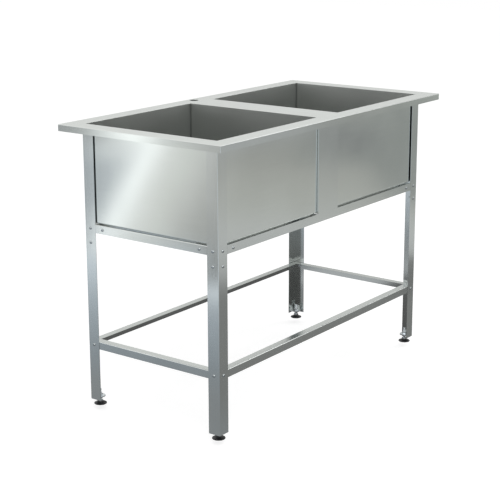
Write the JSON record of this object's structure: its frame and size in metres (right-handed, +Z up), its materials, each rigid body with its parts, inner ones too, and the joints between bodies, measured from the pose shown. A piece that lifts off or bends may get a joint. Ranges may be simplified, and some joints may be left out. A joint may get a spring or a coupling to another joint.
{
  "type": "kitchen sink unit",
  "caption": "Free-standing steel sink unit with deep square bowls side by side, on a bolted angle frame with open lower rails and adjustable feet.",
  "frame": {"origin": "middle of the footprint, on the floor", "axes": "+Z up, +X along the length from the left end to the right end, +Y from the front to the rear rim with the tap hole"},
  "size_m": [1.2, 0.6, 0.87],
  "materials": {
    "bowl_steel": "satin stainless sheet",
    "frame_steel": "satin stainless angle",
    "plated_steel": "bright zinc plating",
    "strainer_steel": "polished stainless pressing",
    "foot_plastic": "black moulded plastic",
    "seal_rubber": "black rubber",
    "outlet_plastic": "white moulded plastic"
  },
  "bodies": {
    "root": {"top_sheet": "bowl_steel", "left_bowl": "bowl_steel", "left_strainer": "strainer_steel", "left_upper_seal": "seal_rubber", "left_lower_seal": "seal_rubber", "left_outlet_body": "outlet_plastic", "left_clamp_screw": "strainer_steel", "right_bowl": "bowl_steel", "right_strainer": "strainer_steel", "right_upper_seal": "seal_rubber", "right_lower_seal": "seal_rubber", "right_outlet_body": "outlet_plastic", "right_clamp_screw": "strainer_steel", "front_left_leg": "frame_steel", "front_left_splice": "frame_steel", "front_left_foot_bracket": "plated_steel", "front_right_leg": "frame_steel", "front_right_splice": "frame_steel", "front_right_foot_bracket": "plated_steel", "rear_right_leg": "frame_steel", "rear_right_splice": "frame_steel", "rear_right_foot_bracket": "plated_steel", "rear_left_leg": "frame_steel", "rear_left_splice": "frame_steel", "rear_left_foot_bracket": "plated_steel", "front_upper_rail": "frame_steel", "front_lower_rail": "frame_steel", "right_upper_rail": "frame_steel", "right_lower_rail": "frame_steel", "rear_upper_rail": "frame_steel", "rear_lower_rail": "frame_steel", "left_upper_rail": "frame_steel", "left_lower_rail": "frame_steel", "upper_frame_screws": "plated_steel", "upper_frame_nuts": "plated_steel", "lower_frame_screws": "plated_steel", "lower_frame_nuts": "plated_steel", "foot_weld_nuts": "plated_steel", "foot_lock_nuts": "plated_steel"},
    "front_left_pad": {"front_left_foot_pad": "foot_plastic"},
    "front_left_stem": {"front_left_foot_stem": "plated_steel"},
    "front_right_pad": {"front_right_foot_pad": "foot_plastic"},
    "front_right_stem": {"front_right_foot_stem": "plated_steel"},
    "rear_right_pad": {"rear_right_foot_pad": "foot_plastic"},
    "rear_right_stem": {"rear_right_foot_stem": "plated_steel"},
    "rear_left_pad": {"rear_left_foot_pad": "foot_plastic"},
    "rear_left_stem": {"rear_left_foot_stem": "plated_steel"}
  },
  "joints": [
    {"name": "front_left_foot_travel", "type": "slide", "parent": "root", "child": "front_left_pad", "axis": [0, 0, -1], "range_m": [-0.0035, 0.018]},
    {"name": "front_left_stem_turn", "type": "hinge", "parent": "front_left_pad", "child": "front_left_stem", "pos_m": [-0.53, -0.23, 0.009], "axis": [0, 0, -1], "range_deg": [-1010, 5190]},
    {"name": "front_right_foot_travel", "type": "slide", "parent": "root", "child": "front_right_pad", "axis": [0, 0, -1], "range_m": [-0.0035, 0.018]},
    {"name": "front_right_stem_turn", "type": "hinge", "parent": "front_right_pad", "child": "front_right_stem", "pos_m": [0.53, -0.23, 0.009], "axis": [0, 0, -1], "range_deg": [-1010, 5190]},
    {"name": "rear_right_foot_travel", "type": "slide", "parent": "root", "child": "rear_right_pad", "axis": [0, 0, -1], "range_m": [-0.0035, 0.018]},
    {"name": "rear_right_stem_turn", "type": "hinge", "parent": "rear_right_pad", "child": "rear_right_stem", "pos_m": [0.53, 0.23, 0.009], "axis": [0, 0, -1], "range_deg": [-1010, 5190]},
    {"name": "rear_left_foot_travel", "type": "slide", "parent": "root", "child": "rear_left_pad", "axis": [0, 0, -1], "range_m": [-0.0035, 0.018]},
    {"name": "rear_left_stem_turn", "type": "hinge", "parent": "rear_left_pad", "child": "rear_left_stem", "pos_m": [-0.53, 0.23, 0.009], "axis": [0, 0, -1], "range_deg": [-1010, 5190]}
  ],
  "couplings": [
    {"joint": "front_left_stem_turn", "follows": "front_left_foot_travel", "rad_per_m": 5026.5},
    {"joint": "front_right_stem_turn", "follows": "front_right_foot_travel", "rad_per_m": 5026.5},
    {"joint": "rear_right_stem_turn", "follows": "rear_right_foot_travel", "rad_per_m": 5026.5},
    {"joint": "rear_left_stem_turn", "follows": "rear_left_foot_travel", "rad_per_m": 5026.5}
  ]
}
